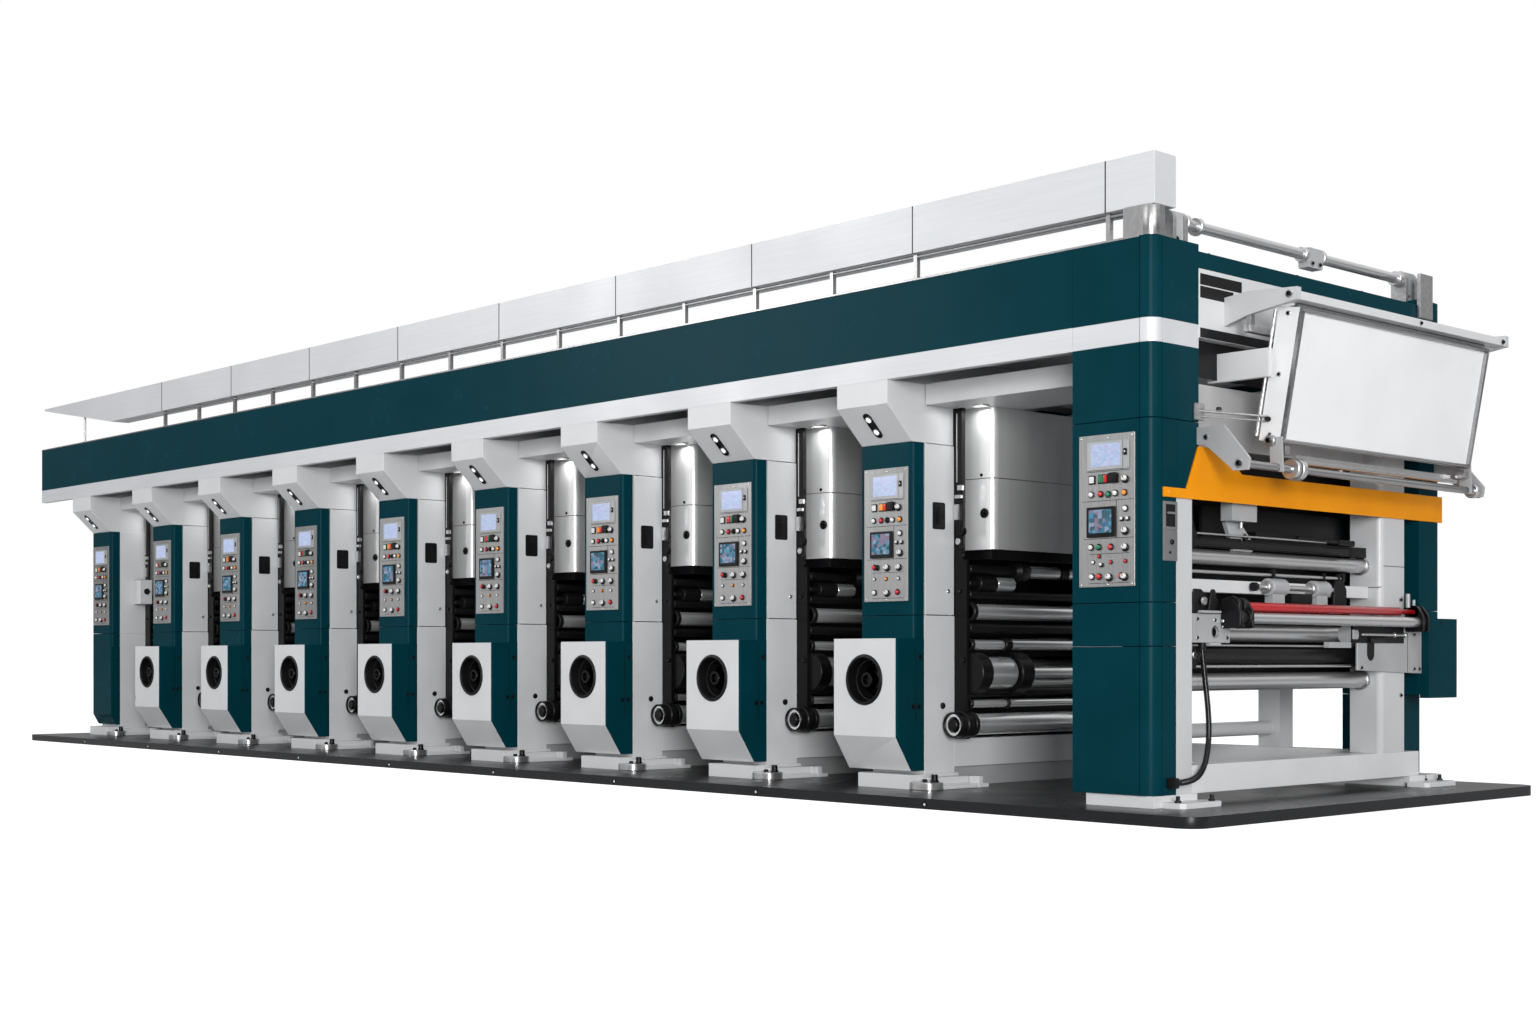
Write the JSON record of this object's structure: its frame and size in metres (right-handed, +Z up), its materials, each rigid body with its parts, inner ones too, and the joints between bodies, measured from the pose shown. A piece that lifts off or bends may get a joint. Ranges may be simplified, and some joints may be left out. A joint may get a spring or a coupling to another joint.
{
  "type": "rotogravure printing press",
  "caption": "Unit-type rotogravure press with a row of print pillars, dryer hoods, fascia and an inspection end frame.",
  "frame": {"origin": "centre of the base plate's underside", "axes": "+X along the press towards the inspection end, +Y towards the drive side, +Z up"},
  "size_m": [14.7885, 3.634, 3.492],
  "materials": {
    "white_paint": "satin off-white powder coat",
    "teal_paint": "satin dark teal paint",
    "brushed_silver": "brushed aluminium",
    "stainless": "brushed stainless steel",
    "black_steel": "satin black",
    "chrome": "polished chrome",
    "dark_rubber": "smooth dark rubber",
    "floor_plate": "dark grey plate",
    "orange_paint": "satin orange paint",
    "black_plastic": "matte black",
    "red_rubber": "smooth red rubber",
    "grey_paint": "satin light grey paint"
  },
  "bodies": {
    "root": {"band_corners": "brushed_silver", "base_plate": "floor_plate", "bay_soffits": "white_paint", "bearing_housings": "black_steel", "bright_rollers": "chrome", "cabinet_back_walls": "white_paint", "conduit": "black_plastic", "conduit_gland": "black_plastic", "control_panels": "brushed_silver", "corbels": "white_paint", "dark_rollers": "dark_rubber", "dryer_hoods": "stainless", "end_beams": "white_paint", "end_brackets": "grey_paint", "end_columns": "teal_paint", "end_fascia": "teal_paint", "end_frame": "white_paint", "end_hood": "orange_paint", "end_rods": "chrome", "fascia_corners": "teal_paint", "fascias": "teal_paint", "feet": "white_paint", "floor_beams": "white_paint", "guard_boxes": "white_paint", "guard_cheeks": "teal_paint", "inspection_board": "white_paint", "junction_box": "teal_paint", "lower_posts": "white_paint", "outer_beam": "white_paint", "parapet": "brushed_silver", "parapet_posts": "brushed_silver", "pillar_claddings": "teal_paint", "rod_brackets": "brushed_silver", "roof_cross_beams": "white_paint", "roof_panel": "white_paint", "screens": "black_plastic", "side_boxes": "grey_paint", "silver_bands": "brushed_silver", "unit_covers": "black_steel", "unit_side_plates": "black_steel", "upper_posts": "white_paint"},
    "pillar_door_2": {"pillar_door_2": "white_paint"},
    "pillar_door_3": {"pillar_door_3": "white_paint"},
    "pillar_door_4": {"pillar_door_4": "white_paint"},
    "pillar_door_5": {"pillar_door_5": "white_paint"},
    "pillar_door_6": {"pillar_door_6": "white_paint"},
    "pillar_door_7": {"pillar_door_7": "white_paint"},
    "pillar_door_8": {"pillar_door_8": "white_paint"},
    "pillar_door_9": {"pillar_door_9": "white_paint"},
    "print_cylinder_2": {"print_cylinder_2": "chrome"},
    "print_cylinder_3": {"print_cylinder_3": "chrome"},
    "print_cylinder_4": {"print_cylinder_4": "chrome"},
    "print_cylinder_5": {"print_cylinder_5": "chrome"},
    "print_cylinder_6": {"print_cylinder_6": "chrome"},
    "print_cylinder_7": {"print_cylinder_7": "chrome"},
    "print_cylinder_8": {"print_cylinder_8": "chrome"},
    "print_cylinder_9": {"print_cylinder_9": "chrome"},
    "red_roller": {"red_roller": "red_rubber"}
  },
  "joints": [
    {"name": "print_cylinder_2_turn", "type": "hinge", "parent": "root", "child": "print_cylinder_2", "pos_m": [-5.249, 0, 0.715], "axis": [0, 1, 0], "continuous": true},
    {"name": "print_cylinder_3_turn", "type": "hinge", "parent": "root", "child": "print_cylinder_3", "pos_m": [-3.849, 0, 0.715], "axis": [0, 1, 0], "continuous": true},
    {"name": "print_cylinder_4_turn", "type": "hinge", "parent": "root", "child": "print_cylinder_4", "pos_m": [-2.449, 0, 0.715], "axis": [0, 1, 0], "continuous": true},
    {"name": "print_cylinder_5_turn", "type": "hinge", "parent": "root", "child": "print_cylinder_5", "pos_m": [-1.049, 0, 0.715], "axis": [0, 1, 0], "continuous": true},
    {"name": "print_cylinder_6_turn", "type": "hinge", "parent": "root", "child": "print_cylinder_6", "pos_m": [0.351, 0, 0.715], "axis": [0, 1, 0], "continuous": true},
    {"name": "print_cylinder_7_turn", "type": "hinge", "parent": "root", "child": "print_cylinder_7", "pos_m": [1.751, 0, 0.715], "axis": [0, 1, 0], "continuous": true},
    {"name": "print_cylinder_8_turn", "type": "hinge", "parent": "root", "child": "print_cylinder_8", "pos_m": [3.151, 0, 0.715], "axis": [0, 1, 0], "continuous": true},
    {"name": "print_cylinder_9_turn", "type": "hinge", "parent": "root", "child": "print_cylinder_9", "pos_m": [4.551, 0, 0.715], "axis": [0, 1, 0], "continuous": true},
    {"name": "pillar_door_2_hinge", "type": "hinge", "parent": "root", "child": "pillar_door_2", "pos_m": [-4.978, -1.1805, 1.6], "axis": [0, 0, -1], "range_deg": [0, 100]},
    {"name": "pillar_door_3_hinge", "type": "hinge", "parent": "root", "child": "pillar_door_3", "pos_m": [-3.578, -1.1805, 1.6], "axis": [0, 0, -1], "range_deg": [0, 100]},
    {"name": "pillar_door_4_hinge", "type": "hinge", "parent": "root", "child": "pillar_door_4", "pos_m": [-2.178, -1.1805, 1.6], "axis": [0, 0, -1], "range_deg": [0, 100]},
    {"name": "pillar_door_5_hinge", "type": "hinge", "parent": "root", "child": "pillar_door_5", "pos_m": [-0.778, -1.1805, 1.6], "axis": [0, 0, -1], "range_deg": [0, 100]},
    {"name": "pillar_door_6_hinge", "type": "hinge", "parent": "root", "child": "pillar_door_6", "pos_m": [0.622, -1.1805, 1.6], "axis": [0, 0, -1], "range_deg": [0, 100]},
    {"name": "pillar_door_7_hinge", "type": "hinge", "parent": "root", "child": "pillar_door_7", "pos_m": [2.022, -1.1805, 1.6], "axis": [0, 0, -1], "range_deg": [0, 100]},
    {"name": "pillar_door_8_hinge", "type": "hinge", "parent": "root", "child": "pillar_door_8", "pos_m": [3.422, -1.1805, 1.6], "axis": [0, 0, -1], "range_deg": [0, 100]},
    {"name": "pillar_door_9_hinge", "type": "hinge", "parent": "root", "child": "pillar_door_9", "pos_m": [4.822, -1.1805, 1.6], "axis": [0, 0, -1], "range_deg": [0, 100]},
    {"name": "red_roller_turn", "type": "hinge", "parent": "root", "child": "red_roller", "pos_m": [6.801, 0, 1.125], "axis": [0, 1, 0], "continuous": true}
  ]
}
